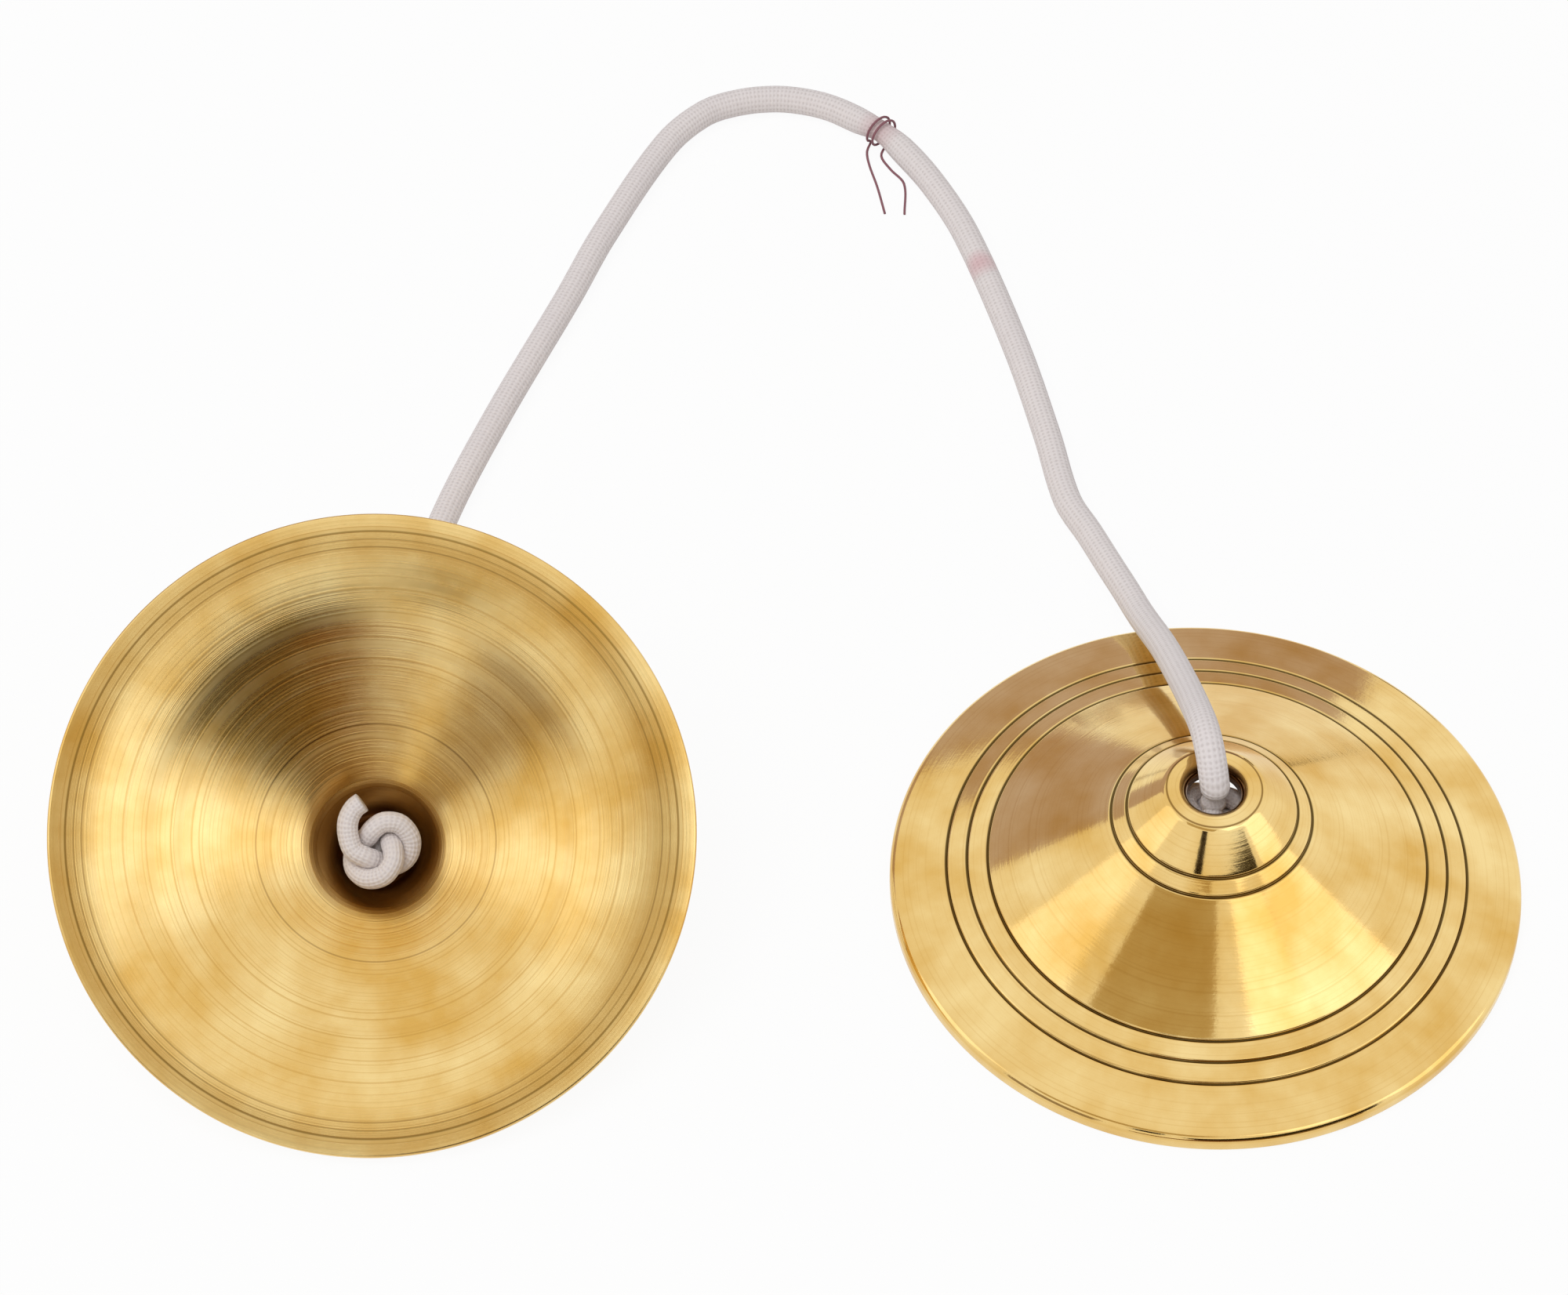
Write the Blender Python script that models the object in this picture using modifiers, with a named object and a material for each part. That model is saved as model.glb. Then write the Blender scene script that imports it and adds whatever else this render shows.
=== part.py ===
"""Pair of manjira: two small brass hand cymbals joined by one soft cord.

The right cymbal lies rim down. The left one lies on its back, resting on its boss and on the
edge of its rim, and leans towards the front. The cord runs from one boss to the other along
the table in a tall bow, and ends in an overhand knot inside each cymbal.
Metres, +Z up, with the table at z = 0 and the origin between the two cymbals.
"""
import bmesh
import bpy
import math
from mathutils import Euler, Vector

MM = 0.001
GAP = 0.3                      # clearance between pieces that touch

# Cymbal, in millimetres: radius and height above the plane of its rim
CYMBAL_RADIUS = 32.0
CYMBAL_HEIGHT = 16.5
HOLE_RADIUS = 2.67
LIP_ROUND = 1.0                # rounding round the mouth of the hole
SHOULDER_RADIUS = 4.3          # where the flat top of the boss begins to fall away
SHOULDER_ROUND = 1.4
BOSS_LOWER_GROOVE = (10.08, 11.93)
BOSS_UPPER_GROOVE = (8.57, 13.04)
FLANGE_GROOVES = ((22.2, 4.57), (24.27, 3.99), (26.34, 3.24))
GROOVE_WIDTH = 0.5
GROOVE_DEPTH = 0.25
RIM_TOP = 1.9                  # thickness of the rim
RIM_ROUND = 0.9
RIM_FOOT_ROUND = 0.3
BAND_INNER_RADIUS = 28.4       # the flat band that strikes the other cymbal
HOLLOW = ((25.3, 0.85), (22.2, 1.95), (12.0, 8.1), (6.4, 11.7))
FLOOR_HEIGHT = 14.2            # the small flat floor of the hollow, round the hole
FLOOR_RADIUS = 3.9
HOLE_CHAMFER = 0.53
TURNING_STEPS = 56

# Places of the two cymbals on the table, in millimetres
RIGHT_CENTRE = (41.65, 1.04)
LEFT_CENTRE = (-41.66, -4.54)
LEFT_TURN = math.radians(3.4)
PIVOT_HEIGHT = 15.3            # where the cord and the knot meet, inside the hole

# Cord and knots, in millimetres
CORD_RADIUS = 1.5
CORD_FLOOR_GAP = 0.05
CORD_REST = CORD_RADIUS + CORD_FLOOR_GAP
CORD_STEP = 4.0
LEFT_CORD_DIP = math.radians(44.8)
BOW_TOP = (-2.0, 108.8)
TIE = (9.9, 103.4)             # where the thread is tied round the cord
TIE_LIFT = 1.95
TIE_PINCH = 0.8
DOME = ((0.0, 0.24), (0.14, 0.56), (0.47, 0.87), (0.97, 1.0))

STRAND_RADIUS = 0.9
KNOT_STEP = 1.0
KNOT_RING = 2.4
KNOT_SWING = 1.0
KNOT_DEPTH = 1.15
KNOT_CENTRE = 11.3
NECK_RADIUS = 1.1              # where the knot meets the cord
KNOT_TURN = 230.0
KNOT_TAIL = ((3.0, 200.0, -1.5), (3.7, 222.0, -1.9), (4.2, 240.0, -2.2), (4.4, 253.0, -2.4))

THREAD_RADIUS = 0.2
THREAD_COIL = CORD_RADIUS + THREAD_RADIUS
THREAD_PITCH = 0.8
THREAD_STEP = 1.0
THREAD_START = 150.0
THREAD_SWEEP = 690.0

BRASS = (0.74, 0.47, 0.14, 1.0)
COTTON = (0.78, 0.72, 0.70, 1.0)
DARK_THREAD = (0.09, 0.04, 0.05, 1.0)


def clear_scene():
    for obj in list(bpy.data.objects):
        bpy.data.objects.remove(obj)


def material(name, colour, roughness, metallic):
    mat = bpy.data.materials.new(name)
    mat.use_nodes = True
    shader = mat.node_tree.nodes["Principled BSDF"]
    shader.inputs["Base Color"].default_value = colour
    shader.inputs["Roughness"].default_value = roughness
    shader.inputs["Metallic"].default_value = metallic
    return mat


def arc(centre, radius, start, end, steps):
    """Points on an arc of the profile; angles in radians from the outward direction."""
    points = []
    for i in range(steps + 1):
        angle = start + (end - start) * i / steps
        points.append((centre[0] + radius * math.cos(angle), centre[1] + radius * math.sin(angle)))
    return points


def tangent_angle(centre, radius, point, side):
    """Angle on the circle where a line from the point touches it, on the given side of the point."""
    across = point[0] - centre[0]
    up = point[1] - centre[1]
    return math.atan2(up, across) + side * math.acos(radius / math.hypot(across, up))


def groove(before, at, after):
    """A V groove cut at a corner of the profile."""
    way_in = (Vector(at) - Vector(before)).normalized()
    way_out = (Vector(after) - Vector(at)).normalized()
    inward = Vector((way_in.y + way_out.y, -way_in.x - way_out.x)).normalized()
    start = Vector(at) - way_in * GROOVE_WIDTH / 2
    bottom = Vector(at) + inward * GROOVE_DEPTH
    end = Vector(at) + way_out * GROOVE_WIDTH / 2
    return [tuple(start), tuple(bottom), tuple(end)]


def cymbal_profile():
    """The closed section of the cymbal: down its outside, then back up its hollow."""
    lip = (HOLE_RADIUS + LIP_ROUND, CYMBAL_HEIGHT - LIP_ROUND)
    points = arc(lip, LIP_ROUND, math.pi, math.pi / 2, 4)
    shoulder = (SHOULDER_RADIUS, CYMBAL_HEIGHT - SHOULDER_ROUND)
    shoulder_end = tangent_angle(shoulder, SHOULDER_ROUND, BOSS_UPPER_GROOVE, 1)
    points += arc(shoulder, SHOULDER_ROUND, math.pi / 2, shoulder_end, 3)
    rim = (CYMBAL_RADIUS - RIM_ROUND, RIM_TOP - RIM_ROUND)
    rim_start = tangent_angle(rim, RIM_ROUND, FLANGE_GROOVES[-1], -1)
    rim_arc = arc(rim, RIM_ROUND, rim_start, 0.0, 4)
    stops = [points[-1], BOSS_UPPER_GROOVE, BOSS_LOWER_GROOVE, *FLANGE_GROOVES, rim_arc[0]]
    for before, at, after in zip(stops, stops[1:], stops[2:]):
        points += groove(before, at, after)
    points += rim_arc
    foot = (CYMBAL_RADIUS - RIM_FOOT_ROUND, RIM_FOOT_ROUND)
    points += arc(foot, RIM_FOOT_ROUND, 0.0, -math.pi / 2, 2)
    points.append((BAND_INNER_RADIUS, 0.0))
    points += HOLLOW
    points.append((FLOOR_RADIUS, FLOOR_HEIGHT))
    points.append((HOLE_RADIUS + HOLE_CHAMFER, FLOOR_HEIGHT))
    points.append((HOLE_RADIUS, FLOOR_HEIGHT + HOLE_CHAMFER))
    return points


def cymbal_mesh():
    """A profile for the Screw modifier, with its origin at the pivot inside the hole."""
    profile = cymbal_profile()
    mesh = bpy.data.meshes.new("cymbal_profile")
    vertices = [(r * MM, 0.0, (z - PIVOT_HEIGHT) * MM) for r, z in profile]
    edges = [(i, (i + 1) % len(profile)) for i in range(len(profile))]
    mesh.from_pydata(vertices, edges, [])
    return mesh


def add_cymbal(name, mesh, mat, collection):
    """Turn the profile; the turned shape is kept as the object's own mesh."""
    turned = bpy.data.objects.new(name + "_turning", mesh)
    collection.objects.link(turned)
    screw = turned.modifiers.new("turning", "SCREW")
    screw.angle = 2 * math.pi
    screw.steps = TURNING_STEPS
    screw.render_steps = TURNING_STEPS
    screw.use_merge_vertices = True
    screw.merge_threshold = 0.00001
    depsgraph = bpy.context.evaluated_depsgraph_get()
    solid = bpy.data.meshes.new_from_object(turned.evaluated_get(depsgraph))
    bpy.data.objects.remove(turned)
    solid.name = name
    solid.materials.clear()
    solid.materials.append(mat)
    solid.shade_smooth()
    solid.set_sharp_from_angle(angle=math.radians(30))
    obj = bpy.data.objects.new(name, solid)
    collection.objects.link(obj)
    return obj


def smooth_route(points, step):
    """Points read from a smooth curve through the given ones, about one step apart."""
    route = [Vector(p) for p in points]
    route.insert(0, route[0] * 2 - route[1])
    route.append(route[-1] * 2 - route[-2])
    read = []
    for a, b, c, d in zip(route, route[1:], route[2:], route[3:]):
        length = (c - b).length
        count = max(2, math.ceil(length / step))
        start_slope = (c - a) * length / ((c - b).length + (b - a).length)
        end_slope = (d - b) * length / ((c - b).length + (d - c).length)
        for i in range(count):
            t = i / count
            read.append(b * (2 * t**3 - 3 * t**2 + 1) + start_slope * (t**3 - 2 * t**2 + t)
                        + c * (3 * t**2 - 2 * t**3) + end_slope * (t**3 - t**2))
    read.append(route[-2])
    return read


def domed(route, radius, at_start, at_end):
    """Round off the ends of a tube, whose points are (x, y, z, share of its radius)."""
    result = list(route)
    if at_end:
        result = round_tip(result[::-1], radius)[::-1]
    if at_start:
        result = round_tip(result, radius)
    return result


def round_tip(route, radius):
    """Round off the first end of a tube."""
    tip = route[0]
    way = (route[1] - tip).to_3d().normalized().to_4d()
    way.w = 0.0
    beyond = [point for point in route if (point - tip).to_3d().length > 1.15 * radius]
    return [dome_point(tip, way, radius, far, share) for far, share in DOME] + beyond


def dome_point(tip, way, radius, far, share):
    point = tip + way * far * radius
    point.w = tip.w * share
    return point


def add_tube(name, route, radius, origin, mat, collection):
    """A tube along the route, kept as a mesh with welded caps; its origin is at the given point."""
    curve = bpy.data.curves.new(name + "_path", "CURVE")
    curve.dimensions = "3D"
    curve.bevel_depth = radius * MM
    curve.bevel_resolution = 2
    curve.use_fill_caps = True
    spline = curve.splines.new("POLY")
    spline.points.add(len(route) - 1)
    for point, place in zip(spline.points, route):
        point.co = ((place.to_3d() - origin) * MM).to_4d()
        point.radius = place.w
    tube = bpy.data.objects.new(name + "_tube", curve)
    collection.objects.link(tube)
    depsgraph = bpy.context.evaluated_depsgraph_get()
    mesh = bpy.data.meshes.new_from_object(tube.evaluated_get(depsgraph))
    bpy.data.objects.remove(tube)
    bm = bmesh.new()
    bm.from_mesh(mesh)
    bmesh.ops.remove_doubles(bm, verts=bm.verts, dist=0.00001)
    bmesh.ops.recalc_face_normals(bm, faces=bm.faces)
    bm.to_mesh(mesh)
    bm.free()
    mesh.name = name
    mesh.materials.clear()
    mesh.materials.append(mat)
    mesh.shade_smooth()
    obj = bpy.data.objects.new(name, mesh)
    obj.location = origin * MM
    collection.objects.link(obj)
    return obj


def left_lean():
    """The lean at which the boss and the edge of the rim both touch the table."""
    shoulder_height = CYMBAL_HEIGHT - SHOULDER_ROUND
    rim_radius = CYMBAL_RADIUS - RIM_ROUND
    rim_height = RIM_TOP - RIM_ROUND
    across = rim_radius - SHOULDER_RADIUS
    up = shoulder_height - rim_height
    return math.atan2(up, across) + math.asin((SHOULDER_ROUND - RIM_ROUND) / math.hypot(across, up))


def left_pivot():
    """The pivot of the left cymbal, and the way that its hollow faces."""
    lean = left_lean()
    shoulder_height = CYMBAL_HEIGHT - SHOULDER_ROUND
    height = SHOULDER_ROUND + SHOULDER_RADIUS * math.sin(lean) + shoulder_height * math.cos(lean)
    facing = Vector((math.sin(lean) * math.sin(LEFT_TURN),
                     -math.sin(lean) * math.cos(LEFT_TURN), math.cos(lean)))
    centre = Vector((*LEFT_CENTRE, height))
    return centre - facing * PIVOT_HEIGHT, facing


def left_cord_route():
    """From the left hole, down on to the table, and along the left side of the bow."""
    pivot, facing = left_pivot()
    back = Vector((-math.sin(LEFT_TURN), math.cos(LEFT_TURN), 0.0))
    drop = pivot.z - CORD_REST
    bend = drop / (1 - math.cos(LEFT_CORD_DIP))
    route = []
    for share in (0.0, 0.3, 0.65, 1.0):
        dip = LEFT_CORD_DIP * (1 - share)
        run = bend * (math.sin(LEFT_CORD_DIP) - math.sin(dip))
        height = CORD_REST + bend * (1 - math.cos(dip))
        route.append((*(pivot + back * run).to_2d(), height, 1.0))
    start = Vector(route[0][:3])
    way = back * math.cos(LEFT_CORD_DIP) - Vector((0.0, 0.0, math.sin(LEFT_CORD_DIP)))
    route[0] = (*(start + way * GAP / 2), 1.0)
    table_points = [(-41.8, 13.0), (-41.5, 20.0), (-40.2, 35.0), (-37.4, 47.3), (-32.1, 61.7),
                    (-24.8, 78.9), (-21.1, 88.1), (-14.3, 101.8), (-10.0, 106.6), (-6.0, 108.3)]
    route += [(x, y, CORD_REST, 1.0) for x, y in table_points]
    route.append((BOW_TOP[0] - GAP / 2, BOW_TOP[1], CORD_REST, 1.0))
    return smooth_route(route, CORD_STEP)


def right_cord_route():
    """From the top of the bow, past the thread, up over the right cymbal and into its hole."""
    table_points = [(BOW_TOP[0] + GAP / 2, BOW_TOP[1]), (1.2, 108.4), (4.2, 107.4), (7.5, 105.4)]
    route = [(x, y, CORD_REST, 1.0) for x, y in table_points]
    route.append((*TIE, TIE_LIFT, TIE_PINCH))
    table_points = [(12.1, 101.2), (15.6, 95.8), (19.2, 88.1), (24.3, 71.7), (27.3, 59.2), (29.2, 50.1)]
    route += [(x, y, CORD_REST, 1.0) for x, y in table_points]
    rising_points = [(31.4, 45.1, 2.0), (33.1, 40.7, 2.7), (34.8, 36.5, 3.3), (36.2, 32.8, 3.9),
                     (38.15, 25.2, 8.0), (39.5, 16.9, 13.0), (40.3, 10.2, 17.2), (40.8, 6.1, 19.2),
                     (41.2, 3.2, 19.2), (41.5, 1.6, 17.9)]
    route += [(x, y, z, 1.0) for x, y, z in rising_points]
    route.append((*RIGHT_CENTRE, PIVOT_HEIGHT + GAP / 2 + CORD_RADIUS / 2, 1.0))
    route.append((*RIGHT_CENTRE, PIVOT_HEIGHT + GAP / 2, 1.0))
    return smooth_route(route, CORD_STEP)


def knot_route():
    """An overhand knot below the pivot, hanging from a short neck, in the cymbal's own frame."""
    middle = KNOT_CENTRE - PIVOT_HEIGHT
    neck_share = NECK_RADIUS / STRAND_RADIUS
    route = [(0.0, 0.0, -GAP / 2, neck_share), (0.0, 0.0, -GAP / 2 - NECK_RADIUS, neck_share)]
    for radius, turn, height in ((0.0, 0.0, 2.35), (0.95, 35.0, 2.1), (1.9, 40.0, 1.85)):
        angle = math.radians(turn + KNOT_TURN)
        route.append((radius * math.cos(angle), radius * math.sin(angle), middle + height, 1.0))
    for t in range(30, 331, 15):
        angle = math.radians(2 * t + KNOT_TURN)
        radius = KNOT_RING + KNOT_SWING * math.cos(math.radians(3 * t))
        height = middle + KNOT_DEPTH * math.sin(math.radians(3 * t))
        route.append((radius * math.cos(angle), radius * math.sin(angle), height, 1.0))
    for radius, turn, height in KNOT_TAIL:
        angle = math.radians(turn)
        route.append((radius * math.cos(angle), radius * math.sin(angle), middle + height, 1.0))
    return smooth_route(route, KNOT_STEP)


def thread_route():
    """A tail, nearly two turns round the cord, and a second tail."""
    along = Vector((12.1 - 7.5, 101.2 - 105.4, 0.0)).normalized()
    inward = along.cross(Vector((0.0, 0.0, 1.0)))
    middle = Vector((*TIE, TIE_LIFT))
    route = [(10.2, 92.5, 0.25), (9.4, 96.5, 0.25), (8.5, 100.0, 0.25), (8.3, 101.9, 0.3)]
    steps = round(THREAD_SWEEP / 30)
    for i in range(steps + 1):
        angle = math.radians(THREAD_START - THREAD_SWEEP * i / steps)
        shift = THREAD_PITCH * THREAD_SWEEP / 360 * (i / steps - 0.5)
        outward = Vector((0.0, 0.0, math.cos(angle))) + inward * math.sin(angle)
        route.append(tuple(middle + along * shift + outward * THREAD_COIL))
    route += [(9.9, 101.2, 0.25), (10.9, 99.2, 0.25), (12.4, 97.0, 0.25), (12.4, 92.4, 0.25)]
    return smooth_route([(x, y, z, 1.0) for x, y, z in route], THREAD_STEP)


def least_gap(route, radius, skip):
    """The least gap of a tube to itself, measured between points that lie apart along it."""
    lengths = [0.0]
    for a, b in zip(route, route[1:]):
        lengths.append(lengths[-1] + (b - a).to_3d().length)
    least = math.inf
    for i, a in enumerate(route):
        for j in range(i + 1, len(route)):
            if lengths[j] - lengths[i] > skip:
                distance = (a - route[j]).to_3d().length - radius * (a.w + route[j].w)
                least = min(least, distance)
    return least


def route_length(route):
    return sum((b - a).to_3d().length for a, b in zip(route, route[1:]))


def build():
    clear_scene()
    parts = bpy.data.collections.new("manjira_pair")
    bpy.context.scene.collection.children.link(parts)
    brass_left = material("brass_left", BRASS, 0.3, 1.0)
    brass_right = material("brass_right", BRASS, 0.3, 1.0)
    cotton = [material("cotton_" + name, COTTON, 0.9, 0.0) for name in ("a", "b", "c", "d")]
    dark = material("dark_thread", DARK_THREAD, 0.9, 0.0)

    profile = cymbal_mesh()
    right_pivot = Vector((*RIGHT_CENTRE, PIVOT_HEIGHT))
    right = add_cymbal("right_cymbal", profile, brass_right, parts)
    right.location = right_pivot * MM
    pivot, facing = left_pivot()
    left = add_cymbal("left_cymbal", profile, brass_left, parts)
    left.location = pivot * MM
    left.rotation_euler = Euler((math.pi + left_lean(), 0.0, LEFT_TURN))

    left_route = left_cord_route()
    right_route = right_cord_route()
    bow_top = Vector((*BOW_TOP, CORD_REST))
    add_tube("cord_left", domed(left_route, CORD_RADIUS, True, True), CORD_RADIUS,
             Vector((0.0, 0.0, 0.0)), cotton[0], parts)
    add_tube("cord_right", domed(right_route, CORD_RADIUS, True, True), CORD_RADIUS,
             bow_top, cotton[1], parts)

    knot = domed(knot_route(), NECK_RADIUS, True, False)
    for name, cymbal, mat in (("left_knot", left, cotton[2]), ("right_knot", right, cotton[3])):
        tied = add_tube(name, knot, STRAND_RADIUS, Vector((0.0, 0.0, 0.0)), mat, parts)
        tied.location = cymbal.location
        tied.rotation_euler = cymbal.rotation_euler

    add_tube("tag_thread", thread_route(), THREAD_RADIUS, bow_top, dark, parts)

    print("left pivot", [round(v, 3) for v in pivot], "facing", [round(v, 5) for v in facing])
    print("lean", round(math.degrees(left_lean()), 2))
    print("cord length", round(route_length(left_route) + route_length(right_route) + GAP, 1))
    print("knot least gap", round(least_gap(knot, STRAND_RADIUS, 4.5), 3))


build()
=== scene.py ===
import math

import bmesh
import bpy
from mathutils import Euler, Matrix, Vector
from mathutils.kdtree import KDTree


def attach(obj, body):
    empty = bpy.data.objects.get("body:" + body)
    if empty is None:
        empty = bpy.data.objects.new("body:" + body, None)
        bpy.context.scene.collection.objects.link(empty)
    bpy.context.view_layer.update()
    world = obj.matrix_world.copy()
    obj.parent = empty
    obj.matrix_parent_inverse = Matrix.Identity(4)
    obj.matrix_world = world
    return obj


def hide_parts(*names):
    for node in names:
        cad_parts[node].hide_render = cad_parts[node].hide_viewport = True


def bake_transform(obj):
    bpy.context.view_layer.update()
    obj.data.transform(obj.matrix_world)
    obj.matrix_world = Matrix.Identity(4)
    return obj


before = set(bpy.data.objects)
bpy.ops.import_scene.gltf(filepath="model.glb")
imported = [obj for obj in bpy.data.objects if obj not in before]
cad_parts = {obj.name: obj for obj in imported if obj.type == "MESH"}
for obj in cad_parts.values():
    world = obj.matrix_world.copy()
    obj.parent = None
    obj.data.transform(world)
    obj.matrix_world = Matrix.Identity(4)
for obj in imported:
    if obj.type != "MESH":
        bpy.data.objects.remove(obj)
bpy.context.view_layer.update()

MM = 0.001
MERGE_DISTANCE = 0.000002

# Places of the cymbals, as in the CAD model. A pivot is in the hole, where the cord meets its knot
PIVOT_HEIGHT = 15.3
RIGHT_HOLE = (41.65, 1.04)
RIGHT_PIVOT = Vector((*RIGHT_HOLE, PIVOT_HEIGHT)) * MM
LEFT_PIVOT = Vector((-42.096, 2.794, 3.289)) * MM
LEFT_LEAN = math.radians(28.7)
LEFT_TURN = math.radians(3.4)
RIGHT_PLACE = Matrix.Translation(RIGHT_PIVOT)
LEFT_PLACE = (Matrix.Translation(LEFT_PIVOT)
              @ Euler((math.pi + LEFT_LEAN, 0.0, LEFT_TURN)).to_matrix().to_4x4())

# Camera: the photograph's viewing angle, 52.3 degrees above the table
CAMERA_PLACE = Vector((-1.07, -320.66, 455.81)) * MM
CAMERA_TILT = math.radians(90 - 52.318)
LENS = 125.94
SENSOR_WIDTH = 36.0
NEAREST_SEEN = 0.01

# Studio: a strength of 1 is white
WORLD_COLOUR = "#F4F2F0"
WORLD_STRENGTH = 0.55
TABLE_COLOUR = "#F3F3F3"
TABLE_GLOW = 0.93
TABLE_HALF_SIDE = 3.0
TABLE_DROP = 0.0001
CARD_HALF_SIDE = 0.5
LAMP_PLACE = Vector((-0.35, -0.25, 1.2))
LAMP_AIM = Vector((0.0, 0.03, 0.0))
LAMP_SIZE = (1.0, 0.8)
LAMP_WATTS = 7.0

# Cards round the table, whose reflections shape the turned brass:
# name, azimuth from the front towards the right, elevation, width, height, colour, strength
CARDS = [
    ("front_flag", 26, 24, 0.95, 0.46, "#3A3220", 0.8),
    ("low_front_card", 14, 2, 1.3, 0.32, "#94703C", 0.85),
    ("maroon_flag", 6, 13, 0.3, 0.1, "#7A4638", 0.9),
    ("left_grey_card", -44, 18, 0.5, 0.5, "#A89A8C", 0.9),
    ("overhead_card", -27, 64, 0.66, 0.32, "#D6C39C", 0.8),
    ("narrow_flag", -14, 40, 0.13, 0.3, "#33261A", 0.6),
    ("back_mauve_card", 197, 12, 1.5, 0.75, "#C9B9C2", 0.92),
    ("back_olive_card", 153, 2, 0.14, 0.3, "#6B6040", 0.8),
    ("right_softbox", 78, 36, 0.5, 0.6, "#FFFFFF", 1.5),
    ("top_softbox", 47, 58, 0.3, 0.36, "#FFFFFF", 1.6),
    ("left_softbox", -88, 36, 0.5, 0.6, "#FFFFFF", 1.35),
]


def linear(hex_colour):
    """An sRGB hex colour as linear RGBA."""
    values = [int(hex_colour[i:i + 2], 16) / 255 for i in (1, 3, 5)]
    return [v / 12.92 if v <= 0.04045 else ((v + 0.055) / 1.055) ** 2.4 for v in values] + [1.0]


def add_object(name, data):
    thing = bpy.data.objects.new(name, data)
    bpy.context.scene.collection.objects.link(thing)
    return thing


def add_node(tree, kind, links=None, values=None, **settings):
    """Add a node with its settings. Links and values feed its inputs, by name or number."""
    node = tree.nodes.new(kind)
    for key, value in settings.items():
        setattr(node, key, value)
    for key, value in (values or {}).items():
        node.inputs[key].default_value = value
    for key, socket in (links or {}).items():
        tree.links.new(socket, node.inputs[key])
    return node


def new_material(name, **values):
    """A material, its tree and its shader, with these inputs set. An underscore stands for a space."""
    material = bpy.data.materials.new(name)
    material.use_nodes = True
    shader = material.node_tree.nodes["Principled BSDF"]
    for key, value in values.items():
        shader.inputs[key.replace("_", " ")].default_value = value
    return material, material.node_tree, shader


# Camera, floor and light

def make_camera():
    data = bpy.data.cameras.new("camera")
    data.lens = LENS
    data.sensor_width = SENSOR_WIDTH
    data.clip_start = NEAREST_SEEN
    camera = add_object("camera", data)
    camera.location = CAMERA_PLACE
    camera.rotation_euler = (CAMERA_TILT, 0.0, 0.0)
    bpy.context.scene.camera = camera


def seen_directly(tree):
    """A socket that is 1 for rays from the camera, brass or glass, and else 0."""
    rays = add_node(tree, "ShaderNodeLightPath").outputs
    seen = add_node(tree, "ShaderNodeMath", {0: rays["Is Camera Ray"], 1: rays["Is Glossy Ray"]},
                    operation="ADD")
    seen = add_node(tree, "ShaderNodeMath", {0: seen.outputs[0], 1: rays["Is Transmission Ray"]},
                    operation="ADD", use_clamp=True)
    return seen.outputs[0]


def make_world():
    """A soft pale light, which the camera and the brass see as plain white."""
    world = bpy.data.worlds.new("studio")
    bpy.context.scene.world = world
    world.use_nodes = True
    tree = world.node_tree
    tree.nodes.clear()
    soft = add_node(tree, "ShaderNodeBackground",
                    values={"Color": linear(WORLD_COLOUR), "Strength": WORLD_STRENGTH})
    white = add_node(tree, "ShaderNodeBackground", values={"Color": linear("#FFFFFF")})
    mix = add_node(tree, "ShaderNodeMixShader",
                   {0: seen_directly(tree), 1: soft.outputs[0], 2: white.outputs[0]})
    add_node(tree, "ShaderNodeOutputWorld", {"Surface": mix.outputs[0]})


def add_stage_sheet(name, material, half_side, place):
    """A flat sheet of the studio, which isn't part of the object."""
    bm = bmesh.new()
    bmesh.ops.create_grid(bm, x_segments=1, y_segments=1, size=half_side)
    bm.transform(place)
    mesh = bpy.data.meshes.new(name)
    bm.to_mesh(mesh)
    bm.free()
    mesh.materials.append(material)
    return add_object(name, mesh)


def make_floor():
    """A matt white table top, lit white for the camera and the brass, that keeps a soft shadow."""
    material, tree, shader = new_material("white_table", Base_Color=linear(TABLE_COLOUR), Roughness=0.9,
                                          Specular_IOR_Level=0.0)
    share = add_node(tree, "ShaderNodeMath", {0: seen_directly(tree)}, {1: TABLE_GLOW},
                     operation="MULTIPLY")
    glow = add_node(tree, "ShaderNodeEmission", values={"Color": linear("#FFFFFF")})
    mix = add_node(tree, "ShaderNodeMixShader",
                   {0: share.outputs[0], 1: shader.outputs[0], 2: glow.outputs[0]})
    tree.links.new(mix.outputs[0], tree.nodes["Material Output"].inputs["Surface"])
    floor = add_stage_sheet("floor", material, TABLE_HALF_SIDE, Matrix.Identity(4))
    floor.location.z = -TABLE_DROP


def add_card(name, azimuth, elevation, width, height, colour, strength):
    """A glowing paper card, a metre away and facing the cymbals, that only the brass sees."""
    a = math.radians(azimuth)
    e = math.radians(elevation)
    way = Vector((math.sin(a) * math.cos(e), -math.cos(a) * math.cos(e), math.sin(e)))
    turn = way.to_track_quat("Z", "Y").to_matrix().to_4x4()
    size = Matrix.Diagonal((width, height, 1.0, 1.0))
    material, tree, _ = new_material(name + "_paper")
    glow = add_node(tree, "ShaderNodeEmission", values={"Color": linear(colour), "Strength": strength})
    tree.links.new(glow.outputs[0], tree.nodes["Material Output"].inputs["Surface"])
    card = add_stage_sheet(name, material, CARD_HALF_SIDE, Matrix.Translation(way) @ turn @ size)
    card.visible_camera = False
    card.visible_diffuse = False
    card.visible_shadow = False
    card.visible_transmission = False


def make_lamp():
    """A wide soft lamp overhead, which the brass doesn't mirror."""
    data = bpy.data.lights.new("overhead_softbox", "AREA")
    data.shape = "RECTANGLE"
    data.size, data.size_y = LAMP_SIZE
    data.energy = LAMP_WATTS
    lamp = add_object("overhead_softbox", data)
    lamp.location = LAMP_PLACE
    lamp.rotation_euler = (LAMP_AIM - LAMP_PLACE).to_track_quat("-Z", "Y").to_euler()
    lamp.visible_glossy = False


# Pieces

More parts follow.
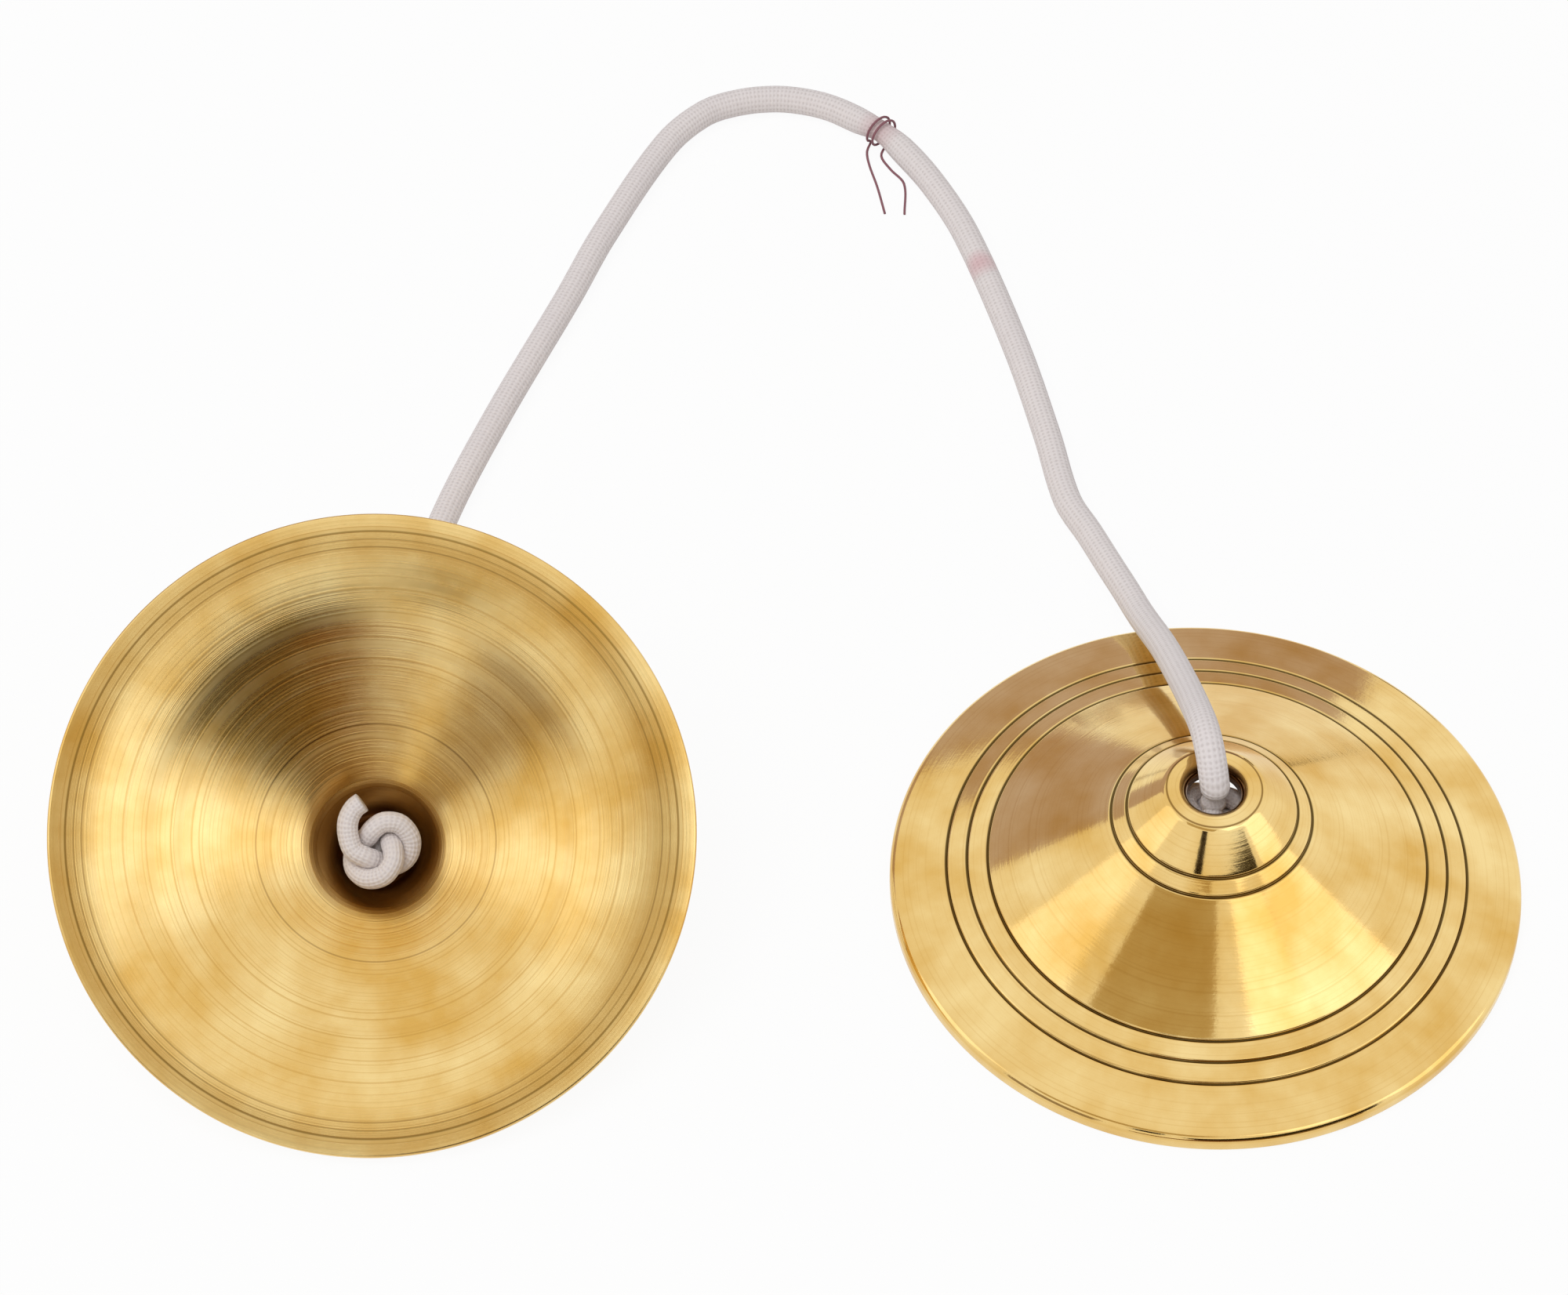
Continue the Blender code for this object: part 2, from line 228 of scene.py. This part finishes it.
def add_piece(name, mesh, material, body, slot, *nodes):
    """A piece of the object in place of these CAD nodes, attached to its body if it has one."""
    piece = add_object(name, mesh)
    mesh.materials.append(material)
    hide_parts(*nodes)
    if body:
        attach(piece, body)
    return piece


# Cord: the route's points are those of the CAD model, in millimetres, and turned to metres in the mesh

CORD_RADIUS = 1.5
CORD_SIDES = 24
CORD_STEP = 1.2
CORD_REST = 1.55
GAP = 0.3
# The cord leaves the left hole this steeply, and eases to the table at these shares of its bend
LEFT_CORD_DIP = math.radians(44.8)
DIP_SHARES = (0.0, 0.3, 0.65, 1.0)
BOW_TOP = (-2.0, 108.8)
BEFORE_TIE = (7.5, 105.4)
TIE = (9.9, 103.4)
TIE_LIFT = 1.95
TIE_PINCH = 0.8
AFTER_TIE = (12.1, 101.2)
LEFT_RUN = [(-41.8, 13.0), (-41.5, 20.0), (-40.2, 35.0), (-37.4, 47.3), (-32.1, 61.7), (-24.8, 78.9),
            (-21.1, 88.1), (-14.3, 101.8), (-10.0, 106.6), (-6.0, 108.3), BOW_TOP, (1.2, 108.4),
            (4.2, 107.4), BEFORE_TIE]
RIGHT_RUN = [AFTER_TIE, (15.6, 95.8), (19.2, 88.1), (24.3, 71.7), (27.3, 59.2), (29.2, 50.1)]
RISING_RUN = [(31.4, 45.1, 2.0), (33.1, 40.7, 2.7), (34.8, 36.5, 3.3), (36.2, 32.8, 3.9),
              (38.15, 25.2, 8.0), (39.5, 16.9, 13.0), (40.3, 10.2, 17.2), (40.8, 6.1, 19.2),
              (41.2, 3.2, 19.2), (41.5, 1.6, 17.9)]
# How far on a rounded end has each share of the tube's radius, in radii
DOME = ((0.0, 0.24), (0.05, 0.36), (0.14, 0.56), (0.3, 0.75), (0.47, 0.87), (0.7, 0.96), (0.97, 1.0))
DOME_CLEAR = 1.15


def smooth_route(points, step):
    """Points read from a smooth curve through the given ones, about one step apart."""
    route = [Vector(p) for p in points]
    route.insert(0, route[0] * 2 - route[1])
    route.append(route[-1] * 2 - route[-2])
    read = []
    for a, b, c, d in zip(route, route[1:], route[2:], route[3:]):
        length = (c - b).length
        count = max(2, math.ceil(length / step))
        start_slope = (c - a) * length / ((c - b).length + (b - a).length)
        end_slope = (d - b) * length / ((c - b).length + (d - c).length)
        for i in range(count):
            t = i / count
            read.append(b * (2 * t**3 - 3 * t**2 + 1) + start_slope * (t**3 - 2 * t**2 + t)
                        + c * (3 * t**2 - 2 * t**3) + end_slope * (t**3 - t**2))
    read.append(route[-2])
    return read


def cord_points():
    """The whole route, from the left pivot to the right one, as (x, y, z, share of the radius)."""
    pivot = LEFT_PIVOT / MM
    back = Vector((-math.sin(LEFT_TURN), math.cos(LEFT_TURN), 0.0))
    bend = (pivot.z - CORD_REST) / (1 - math.cos(LEFT_CORD_DIP))
    route = []
    for share in DIP_SHARES:
        dip = LEFT_CORD_DIP * (1 - share)
        run = bend * (math.sin(LEFT_CORD_DIP) - math.sin(dip))
        route.append((*(pivot + back * run).to_2d(), CORD_REST + bend * (1 - math.cos(dip)), 1.0))
    way = back * math.cos(LEFT_CORD_DIP) - Vector((0.0, 0.0, math.sin(LEFT_CORD_DIP)))
    route[0] = (*(Vector(route[0][:3]) + way * GAP / 2), 1.0)
    route += [(x, y, CORD_REST, 1.0) for x, y in LEFT_RUN]
    route.append((*TIE, TIE_LIFT, TIE_PINCH))
    route += [(x, y, CORD_REST, 1.0) for x, y in RIGHT_RUN]
    route += [(x, y, z, 1.0) for x, y, z in RISING_RUN]
    route.append((*RIGHT_HOLE, PIVOT_HEIGHT + GAP / 2 + CORD_RADIUS / 2, 1.0))
    route.append((*RIGHT_HOLE, PIVOT_HEIGHT + GAP / 2, 1.0))
    return smooth_route(route, CORD_STEP)


def round_tip(route, radius):
    """Round off the first end of a tube."""
    tip = route[0]
    way = (route[1] - tip).to_3d().normalized().to_4d()
    way.w = 0.0
    beyond = [point for point in route if (point - tip).to_3d().length > DOME_CLEAR * radius]
    rounded = []
    for far, share in DOME:
        point = tip + way * far * radius
        point.w = tip.w * share
        rounded.append(point)
    return rounded + beyond


def tube_mesh(name, route, radius, sides):
    """A tube along the route as a mesh in metres, measured for the braid."""
    curve = bpy.data.curves.new(name + "_path", "CURVE")
    curve.dimensions = "3D"
    curve.bevel_depth = radius * MM
    curve.bevel_resolution = sides // 2 - 2
    curve.use_fill_caps = True
    spline = curve.splines.new("POLY")
    spline.points.add(len(route) - 1)
    for point, place in zip(spline.points, route):
        point.co = (place.to_3d() * MM).to_4d()
        point.radius = place.w
    holder = add_object(name + "_tube", curve)
    mesh = bpy.data.meshes.new_from_object(holder.evaluated_get(bpy.context.evaluated_depsgraph_get()))
    bpy.data.objects.remove(holder)
    bm = bmesh.new()
    bm.from_mesh(mesh)
    bmesh.ops.remove_doubles(bm, verts=bm.verts, dist=MERGE_DISTANCE)
    bmesh.ops.recalc_face_normals(bm, faces=bm.faces)
    bm.to_mesh(mesh)
    bm.free()
    mesh.name = name
    mesh.shade_smooth()
    measure_tube(mesh, route)
    return mesh


def measure_tube(mesh, route):
    """Store how far along the tube each point lies, in mm, and where round it, as cosine and sine."""
    centres = [point.to_3d() * MM for point in route]
    lengths = [0.0]
    for a, b in zip(centres, centres[1:]):
        lengths.append(lengths[-1] + (b - a).length)
    ways = [(b - a).normalized() for a, b in zip(centres, centres[1:])]
    ways.append(ways[-1])
    side = ways[0].orthogonal().normalized()
    sides = []
    for way in ways:
        side = (side - way * side.dot(way)).normalized()
        sides.append(side.copy())
    nearest = KDTree(len(centres))
    for i, centre in enumerate(centres):
        nearest.insert(centre, i)
    nearest.balance()
    values = []
    for vertex in mesh.vertices:
        _, i, _ = nearest.find(vertex.co)
        offset = vertex.co - centres[i]
        along = lengths[i] + offset.dot(ways[i])
        up = ways[i].cross(sides[i])
        angle = math.atan2(offset.dot(up), offset.dot(sides[i]))
        values += [along / MM, math.cos(angle), math.sin(angle)]
    attribute = mesh.attributes.new("braid", "FLOAT_VECTOR", "POINT")
    attribute.data.foreach_set("vector", values)


# Cotton: the photo hardly shows the strands, and they are drawn coarser. Scales are per metre
STRANDS_ROUND = 8.0
STRAND_PITCH = 0.9
FUZZ_SCALE = 2600.0
PATCH_SCALE = 120.0
BRAID_RELIEF = 0.00008
RELIEF_RANGE = (-0.6, 0.5)
CLEAN_COTTON = "#F3ECEB"
# Painted shade for the gaps between the strands
SHADED_COTTON = "#D8CFCE"
STAIN_STRENGTH = 0.6
# Two pink marks, the first under the tied thread: place and reach in metres, and colour
CORD_STAINS = [((TIE[0] * MM, TIE[1] * MM, 0.002), 0.003, "#C98F95"),
               ((0.0207, 0.0829, 0.0022), 0.0022, "#D07080")]


def cotton_material(name, base, colour_marks=()):
    """Braided white cotton: soft and matt, with crossing strands that catch the light, and painted shade
    in the gaps between them.
    """
    material, tree, shader = new_material(name, Roughness=0.9, Specular_IOR_Level=0.15, Sheen_Weight=0.15)
    braid = add_node(tree, "ShaderNodeAttribute", attribute_name="braid")
    parts = add_node(tree, "ShaderNodeSeparateXYZ", {0: braid.outputs["Vector"]})
    turn = add_node(tree, "ShaderNodeMath", {0: parts.outputs[2], 1: parts.outputs[1]},
                    operation="ARCTAN2")
    strands = []
    for hand in (1.0, -1.0):
        wind = add_node(tree, "ShaderNodeMath", {0: turn.outputs[0]}, {1: STRANDS_ROUND * hand},
                        operation="MULTIPLY")
        lean = add_node(tree, "ShaderNodeMath", {0: parts.outputs[0], 2: wind.outputs[0]},
                        {1: 2 * math.pi / STRAND_PITCH}, operation="MULTIPLY_ADD")
        strands.append(add_node(tree, "ShaderNodeMath", {0: lean.outputs[0]}, operation="SINE"))
    weave = add_node(tree, "ShaderNodeMath", {0: strands[0].outputs[0], 1: strands[1].outputs[0]},
                     operation="MULTIPLY")
    place = add_node(tree, "ShaderNodeTexCoord").outputs["Object"]
    fuzz = add_node(tree, "ShaderNodeTexNoise", {"Vector": place}, {"Scale": FUZZ_SCALE, "Detail": 3.0})
    relief = add_node(tree, "ShaderNodeMath", {0: weave.outputs[0], 1: fuzz.outputs[0]}, operation="ADD")
    bump = add_node(tree, "ShaderNodeBump", {"Height": relief.outputs[0]},
                    {"Strength": 0.5, "Distance": BRAID_RELIEF})
    tree.links.new(bump.outputs[0], shader.inputs["Normal"])
    patches = add_node(tree, "ShaderNodeTexNoise", {"Vector": place},
                       {"Scale": PATCH_SCALE, "Detail": 2.0})
    tint = add_node(tree, "ShaderNodeMix", {0: patches.outputs[0]},
                    {6: linear(base), 7: linear(CLEAN_COTTON)}, data_type="RGBA")
    # Painted shade: the low parts of the braid, between the strands, are drawn darker
    height = add_node(tree, "ShaderNodeMapRange", {"Value": relief.outputs[0]},
                      {"From Min": RELIEF_RANGE[0], "From Max": RELIEF_RANGE[1]})
    shaded = add_node(tree, "ShaderNodeMix", {0: height.outputs[0], 7: tint.outputs[2]},
                      {6: linear(SHADED_COTTON)}, data_type="RGBA")
    colour = shaded.outputs[2]
    for centre, reach, stain in colour_marks:
        off = add_node(tree, "ShaderNodeVectorMath", {0: place}, {1: centre}, operation="DISTANCE")
        amount = add_node(tree, "ShaderNodeMapRange", {"Value": off.outputs["Value"]},
                          {"From Min": reach, "From Max": 0.0, "To Max": STAIN_STRENGTH})
        marked = add_node(tree, "ShaderNodeMix", {0: amount.outputs[0], 6: colour}, {7: linear(stain)},
                           data_type="RGBA")
        colour = marked.outputs[2]
    tree.links.new(colour, shader.inputs["Base Color"])
    return material


# Knots: overhand, with three lobes, on a short neck below the pivot, in the cymbal's own frame
KNOT_CENTRE = 11.3
KNOT_RING = 2.4
KNOT_SWING = 1.0
KNOT_DEPTH = 1.15
KNOT_TURN = 230.0
STRAND_SHAPE = 0.9
STRAND_RADIUS = 1.06
STRAND_SIDES = 20
STRAND_STEP = 0.3
NECK_SHAPE = 1.1
# Distance from the axis, turn in degrees and height above the middle of the knot
KNOT_START = ((0.0, 0.0, 2.35), (0.95, 35.0, 2.1), (1.9, 40.0, 1.85))
KNOT_TAIL = ((3.0, 200.0, -1.5), (3.7, 222.0, -1.9), (4.2, 240.0, -2.2), (4.4, 253.0, -2.4))


def turned_point(radius, degrees, height):
    angle = math.radians(degrees)
    return (radius * math.cos(angle), radius * math.sin(angle), height, 1.0)


def knot_points():
    """An overhand knot below the pivot, from its neck to its tail."""
    middle = KNOT_CENTRE - PIVOT_HEIGHT
    share = NECK_SHAPE / STRAND_SHAPE
    route = [(0.0, 0.0, -GAP / 2, share), (0.0, 0.0, -GAP / 2 - NECK_SHAPE, share)]
    route += [turned_point(radius, turn + KNOT_TURN, middle + up) for radius, turn, up in KNOT_START]
    # The strand goes round twice, and in and out and up and down three times
    for t in range(30, 331, 15):
        radius = KNOT_RING + KNOT_SWING * math.cos(math.radians(3 * t))
        height = middle + KNOT_DEPTH * math.sin(math.radians(3 * t))
        route.append(turned_point(radius, 2 * t + KNOT_TURN, height))
    route += [turned_point(radius, turn, middle + up) for radius, turn, up in KNOT_TAIL]
    return round_tip(smooth_route(route, STRAND_STEP), NECK_SHAPE)


def make_knots():
    cotton = cotton_material("knotted_cotton", "#E0D7D2")
    knots = []
    for side, place in (("left", LEFT_PLACE), ("right", RIGHT_PLACE)):
        name = side + "_cord_knot"
        mesh = tube_mesh(name, knot_points(), STRAND_RADIUS, STRAND_SIDES)
        mesh.transform(place)
        knots.append(add_piece(name, mesh, cotton, side + "_knot_body", "cotton_cord", side + "_knot"))
    return knots


# Thread, tied round the cord
THREAD_RADIUS = 0.14
THREAD_SIDES = 10
THREAD_STEP = 0.5
THREAD_REST = 0.25
THREAD_REACH = 1.7
THREAD_START = 150.0
THREAD_WOUND = 690.0
THREAD_PITCH = 0.8
THREAD_STOPS = 23


def thread_points():
    """A tail, nearly two turns round the cord, and a second tail."""
    along = Vector((AFTER_TIE[0] - BEFORE_TIE[0], AFTER_TIE[1] - BEFORE_TIE[1], 0.0)).normalized()
    inward = along.cross(Vector((0.0, 0.0, 1.0)))
    middle = Vector((*TIE, TIE_LIFT))
    route = [(10.2, 92.5, THREAD_REST), (9.4, 96.5, THREAD_REST), (8.5, 100.0, THREAD_REST),
             (8.3, 101.9, 0.3)]
    for i in range(THREAD_STOPS + 1):
        angle = math.radians(THREAD_START - THREAD_WOUND * i / THREAD_STOPS)
        shift = THREAD_PITCH * THREAD_WOUND / 360 * (i / THREAD_STOPS - 0.5)
        outward = Vector((0.0, 0.0, math.cos(angle))) + inward * math.sin(angle)
        route.append(tuple(middle + along * shift + outward * THREAD_REACH))
    route += [(9.9, 101.2, THREAD_REST), (10.9, 99.2, THREAD_REST), (12.4, 97.0, THREAD_REST),
              (12.4, 92.4, THREAD_REST)]
    return smooth_route([(x, y, z, 1.0) for x, y, z in route], THREAD_STEP)


def make_thread():
    """Dark sewing thread: a dull line, too thin for its twist to show."""
    dull, _, _ = new_material("dark_sewing_thread", Base_Color=linear("#8E5F68"), Roughness=0.8)
    mesh = tube_mesh("tied_thread", thread_points(), THREAD_RADIUS, THREAD_SIDES)
    return add_piece("tied_thread", mesh, dull, "cord_right_body", "dark_thread", "tag_thread")


def make_cord():
    """The cord, with its knots and the thread on it."""
    route = round_tip(round_tip(cord_points()[::-1], CORD_RADIUS)[::-1], CORD_RADIUS)
    cotton = cotton_material("braided_cotton", "#E9E2E3", CORD_STAINS)
    mesh = tube_mesh("cord", route, CORD_RADIUS, CORD_SIDES)
    cord = add_piece("cord", mesh, cotton, None, "cotton_cord", "cord_left", "cord_right")
    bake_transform(cord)
    carried = [*make_knots(), make_thread()]


# Cymbals: the same section as the CAD model's, turned finer

# A circle is its distance from the axis, height and radius; a point is its distance and height, in mm
LIP = (3.67, 15.5, 1.0)
SHOULDER = (4.3, 15.1, 1.4)
GROOVES = ((8.57, 13.04), (10.08, 11.93), (22.2, 4.57), (24.27, 3.99), (26.34, 3.24))
RIM = (31.1, 1.0, 0.9)
FOOT = (31.7, 0.3, 0.3)
HOLLOW = ((28.4, 0.0), (25.3, 0.85), (22.2, 1.95), (12.0, 8.1), (6.4, 11.7), (3.9, 14.2), (3.2, 14.2),
          (2.67, 14.73))
GROOVE_WIDTH = 0.42
GROOVE_DEPTH = 0.22
GROOVE_MARGIN = 0.15
GROOVE_EASE = 0.08
BAND_EASE = 1.6
HOLE_EASE = 0.6
# A rounded corner takes at most this share of the straight run beside it
MOST_EASE = 0.45
TURNING_STEPS = 256
SHARP_ANGLE = math.radians(50)
# A face whose normal rises more than this, before the cymbal is set in its place, is outside
OUTSIDE_RISE = 0.01


def arc(circle, start, end, steps):
    """Points round part of a circle."""
    x, z, radius = circle
    angles = [start + (end - start) * i / steps for i in range(steps + 1)]
    return [(x + radius * math.cos(a), z + radius * math.sin(a)) for a in angles]


def tangent_angle(circle, point, side):
    """Where on the circle a straight line from the point touches it."""
    across = point[0] - circle[0]
    up = point[1] - circle[1]
    return math.atan2(up, across) + side * math.acos(circle[2] / math.hypot(across, up))


def eased(points, reach, steps):
    """Round the corners of a run of points by short curves that reach this far from each corner."""
    result = [points[0]]
    for before, at, after in zip(points, points[1:], points[2:]):
        a, b, c = Vector(before), Vector(at), Vector(after)
        start = b + (a - b).normalized() * min(reach, (a - b).length * MOST_EASE)
        end = b + (c - b).normalized() * min(reach, (c - b).length * MOST_EASE)
        for i in range(steps + 1):
            t = i / steps
            result.append(tuple(start * (1 - t) ** 2 + b * 2 * t * (1 - t) + end * t**2))
    return result + [points[-1]]


def cymbal_section():
    """The closed section: lip, shoulder, grooved outside, rim, foot and hollow, back to the hole."""
    points = arc(LIP, math.pi, math.pi / 2, 10)
    points += arc(SHOULDER, math.pi / 2, tangent_angle(SHOULDER, GROOVES[0], 1), 8)
    rim_arc = arc(RIM, tangent_angle(RIM, GROOVES[-1], -1), 0.0, 10)
    stops = [points[-1], *GROOVES, rim_arc[0]]
    for before, at, after in zip(stops, stops[1:], stops[2:]):
        way_in = (Vector(at) - Vector(before)).normalized()
        way_out = (Vector(after) - Vector(at)).normalized()
        inward = Vector((way_in.y + way_out.y, -way_in.x - way_out.x)).normalized()
        start = Vector(at) - way_in * GROOVE_WIDTH / 2
        end = Vector(at) + way_out * GROOVE_WIDTH / 2
        bottom = Vector(at) + inward * GROOVE_DEPTH
        groove = [start - way_in * GROOVE_MARGIN, start, bottom, end, end + way_out * GROOVE_MARGIN]
        points += eased([tuple(point) for point in groove], GROOVE_EASE, 3)
    points += rim_arc
    points += arc(FOOT, 0.0, -math.pi / 2, 4)
    points += eased(HOLLOW[:4], BAND_EASE, 6)[:-1]
    points += eased(HOLLOW[2:], HOLE_EASE, 5)[1:]
    return points


def turned_mesh(name, place):
    """The section spun round the cymbal's axis and set in its place, its two sides told apart."""
    bm = bmesh.new()
    ring = [bm.verts.new((r * MM, 0.0, (z - PIVOT_HEIGHT) * MM)) for r, z in cymbal_section()]
    edges = [bm.edges.new((a, b)) for a, b in zip(ring, ring[1:] + ring[:1])]
    bmesh.ops.spin(bm, geom=ring + edges, cent=(0, 0, 0), axis=(0, 0, 1), angle=2 * math.pi,
                   steps=TURNING_STEPS, use_merge=True, use_duplicate=False)
    bmesh.ops.remove_doubles(bm, verts=bm.verts, dist=MERGE_DISTANCE)
    bmesh.ops.recalc_face_normals(bm, faces=bm.faces)
    for face in bm.faces:
        face.material_index = 0 if face.normal.z > OUTSIDE_RISE else 1
    bm.transform(place)
    mesh = bpy.data.meshes.new(name)
    bm.to_mesh(mesh)
    bm.free()
    mesh.shade_smooth()
    mesh.set_sharp_from_angle(angle=SHARP_ANGLE)
    return mesh


# Brass: the rings are about 0.25 mm apart, a little coarser than the lathe's own. Scales are per mm
RING_SCALE = 4.0
BROAD_SCALE = 0.7
TARNISH_SCALE = 0.12
GRAIN_SCALE = 2.2
RING_RELIEF = 0.00004
GRAIN_RELIEF = 0.00005
GRAIN_STRENGTH = 0.06
DARK_BRASS = "#DDB05C"
BRIGHT_BRASS = "#F6DA98"
RING_BRASS = "#C89A4A"
# Where in their noise the tarnish and the dark rings start and end, and how far the gloss wanders
TARNISH_STOPS = (0.32, 0.68)
RING_STOPS = (0.52, 0.8)
GLOSS_RANGE = (0.75, 1.35)
# The share of a dark line's width that has its full strength
LINE_CORE = 0.3
# Colours of painted shade in the grooves and round the hole
GROOVE_SHADE = "#4E3A14"
HOLE_SHADE = "#4A2412"
# Painted shade in the grooves, at the crease between lip and shoulder and round the hole: distance from
# the axis, half width, colour, strength
OUTSIDE_SHADE = [(radius, 0.2, GROOVE_SHADE, 0.95) for radius, _ in GROOVES]
OUTSIDE_SHADE += [(4.75, 0.14, "#7A5418", 0.8), (2.7, 0.8, HOLE_SHADE, 0.9)]
# Inside: darker lines on the flat of the rim, and painted shade at the crease where the boss begins, deep
# in the boss and round the hole
INSIDE_LINES_AND_SHADE = [(30.2, 0.16, "#8A6A2C", 0.7), (29.4, 0.1, "#9A7834", 0.5), (28.6, 0.12, "#94702E", 0.5),
                 (12.0, 0.12, "#8A6224", 0.5), (4.5, 3.2, "#9A6A26", 0.75), (3.4, 1.6, HOLE_SHADE, 0.9)]
# How deep the rings look, and how far they darken the brass
BUFFED_RINGS = (0.07, 0.3)
TURNED_RINGS = (0.45, 0.7)
BUFFED_ROUGHNESS = {"left": 0.14, "right": 0.09}
TURNED_ROUGHNESS = 0.25


def brass_material(name, place, roughness, rings, colour_marks):
    """Turned and buffed brass: a warm, mirror-like metal, with fine rings from the lathe and tarnish, and
    dark lines round the axis, most of them painted shade in grooves, creases and round the hole.
    """
    ring_depth, ring_tint = rings
    material, tree, shader = new_material(name, Metallic=1.0)
    world = add_node(tree, "ShaderNodeTexCoord").outputs["Object"]
    own = add_node(tree, "ShaderNodeMapping", {"Vector": world},
                   {"Location": place.translation, "Rotation": place.to_euler(), "Scale": (MM, MM, MM)},
                   vector_type="TEXTURE")
    parts = add_node(tree, "ShaderNodeSeparateXYZ", {0: own.outputs[0]})
    flat = add_node(tree, "ShaderNodeCombineXYZ", {0: parts.outputs[0], 1: parts.outputs[1]})
    off_axis = add_node(tree, "ShaderNodeVectorMath", {0: flat.outputs[0]}, operation="LENGTH")
    radius = off_axis.outputs["Value"]
    fine = add_node(tree, "ShaderNodeTexNoise", {"W": radius}, {"Scale": RING_SCALE, "Detail": 4.0},
                    noise_dimensions="1D")
    broad = add_node(tree, "ShaderNodeTexNoise", {"W": radius}, {"Scale": BROAD_SCALE, "Detail": 2.0},
                     noise_dimensions="1D")
    patches = add_node(tree, "ShaderNodeTexNoise", {"Vector": own.outputs[0]},
                       {"Scale": TARNISH_SCALE, "Detail": 5.0})
    specks = add_node(tree, "ShaderNodeTexNoise", {"Vector": own.outputs[0]},
                      {"Scale": GRAIN_SCALE, "Detail": 3.0})
    bump = add_node(tree, "ShaderNodeBump", {"Height": fine.outputs[0]},
                    {"Strength": ring_depth, "Distance": RING_RELIEF})
    grain = add_node(tree, "ShaderNodeBump", {"Height": specks.outputs[0], "Normal": bump.outputs[0]},
                     {"Strength": GRAIN_STRENGTH, "Distance": GRAIN_RELIEF})
    tree.links.new(grain.outputs[0], shader.inputs["Normal"])
    tone = add_node(tree, "ShaderNodeValToRGB", {0: patches.outputs[0]})
    for stop, where, brass in zip(tone.color_ramp.elements, TARNISH_STOPS, (DARK_BRASS, BRIGHT_BRASS)):
        stop.position = where
        stop.color = linear(brass)
    amount = add_node(tree, "ShaderNodeMapRange", {"Value": fine.outputs[0]},
                      {"From Min": RING_STOPS[0], "From Max": RING_STOPS[1], "To Max": ring_tint})
    ringed = add_node(tree, "ShaderNodeMix", {0: amount.outputs[0], 6: tone.outputs[0]},
                      {7: linear(RING_BRASS)}, data_type="RGBA")
    colour = ringed.outputs[2]
    # Dark lines round the axis: painted shade in grooves, creases and round the hole, and darker lines on
    # the flat of the rim
    for centre, width, dark, most in colour_marks:
        off = add_node(tree, "ShaderNodeMath", {0: radius}, {1: centre}, operation="SUBTRACT")
        off = add_node(tree, "ShaderNodeMath", {0: off.outputs[0]}, operation="ABSOLUTE")
        near = add_node(tree, "ShaderNodeMapRange", {"Value": off.outputs[0]},
                        {"From Min": width, "From Max": width * LINE_CORE, "To Max": most},
                        interpolation_type="SMOOTHSTEP")
        marked = add_node(tree, "ShaderNodeMix", {0: near.outputs[0], 6: colour}, {7: linear(dark)},
                           data_type="RGBA")
        colour = marked.outputs[2]
    tree.links.new(colour, shader.inputs["Base Color"])
    gloss = add_node(tree, "ShaderNodeMapRange", {"Value": broad.outputs[0]},
                     {"To Min": roughness * GLOSS_RANGE[0], "To Max": roughness * GLOSS_RANGE[1]})
    tree.links.new(gloss.outputs[0], shader.inputs["Roughness"])
    return material


def make_cymbals():
    """Both cymbals, with their first material on the outside and their second on the inside."""
    for side, place in (("left", LEFT_PLACE), ("right", RIGHT_PLACE)):
        name = side + "_turned_cymbal"
        buffed = brass_material("buffed_brass_" + side, place, BUFFED_ROUGHNESS[side], BUFFED_RINGS,
                                OUTSIDE_SHADE)
        turned = brass_material("turned_brass_" + side, place, TURNED_ROUGHNESS, TURNED_RINGS,
                                INSIDE_LINES_AND_SHADE)
        piece = add_piece(name, turned_mesh(name, place), buffed, side + "_cymbal_body", "brass",
                          side + "_cymbal")
        piece.data.materials.append(turned)


make_camera()
make_cord()
make_world()
make_floor()
for card in CARDS:
    add_card(*card)
make_lamp()
make_cymbals()
bpy.context.scene.view_settings.view_transform = "Standard"
